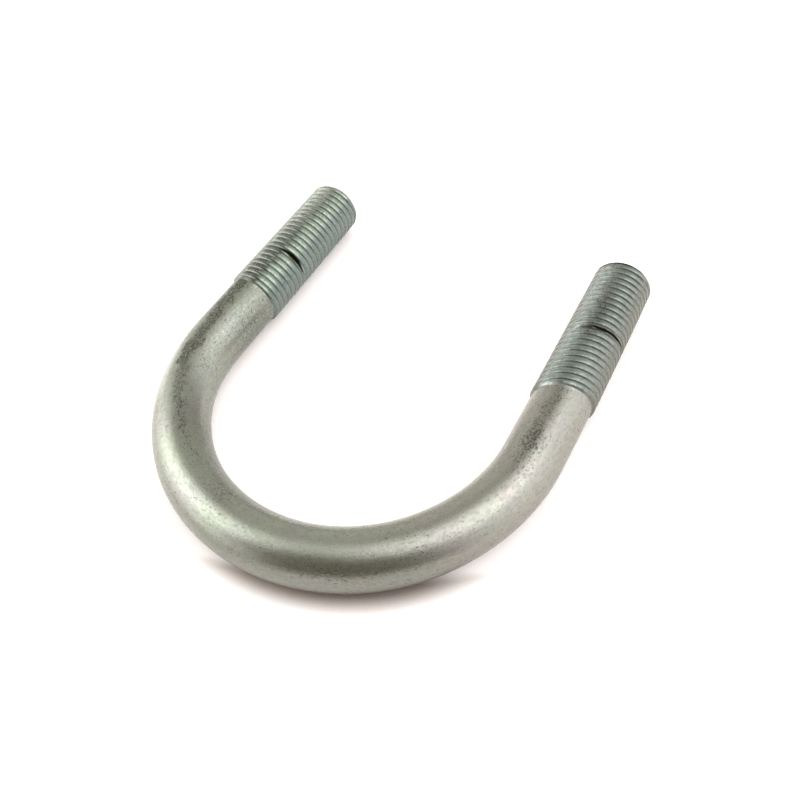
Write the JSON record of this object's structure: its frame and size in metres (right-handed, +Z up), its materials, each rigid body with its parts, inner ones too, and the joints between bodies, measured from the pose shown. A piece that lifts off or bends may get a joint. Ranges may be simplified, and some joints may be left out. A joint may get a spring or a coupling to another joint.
{
  "type": "u-bolt",
  "caption": "Round steel bar bent into a U with a threaded length on each leg, used as a clamp round a pipe or as a through-bolted strong point on a deck.",
  "frame": {"origin": "under the centre of the bounding box, on the surface that the bolt lies on", "axes": "+Y along both legs towards their threaded ends, +X from the left leg to the right leg, +Z up, square to the plane of the U"},
  "size_m": [0.1086, 0.1178, 0.0159],
  "materials": {
    "zinc_plated_steel": "satin bright zinc plating on round steel bar, faint green-yellow passivation, fine grain with darker speckled streaks, threads a little bluer"
  },
  "bodies": {
    "root": {"u_bolt": "zinc_plated_steel"}
  },
  "joints": []
}
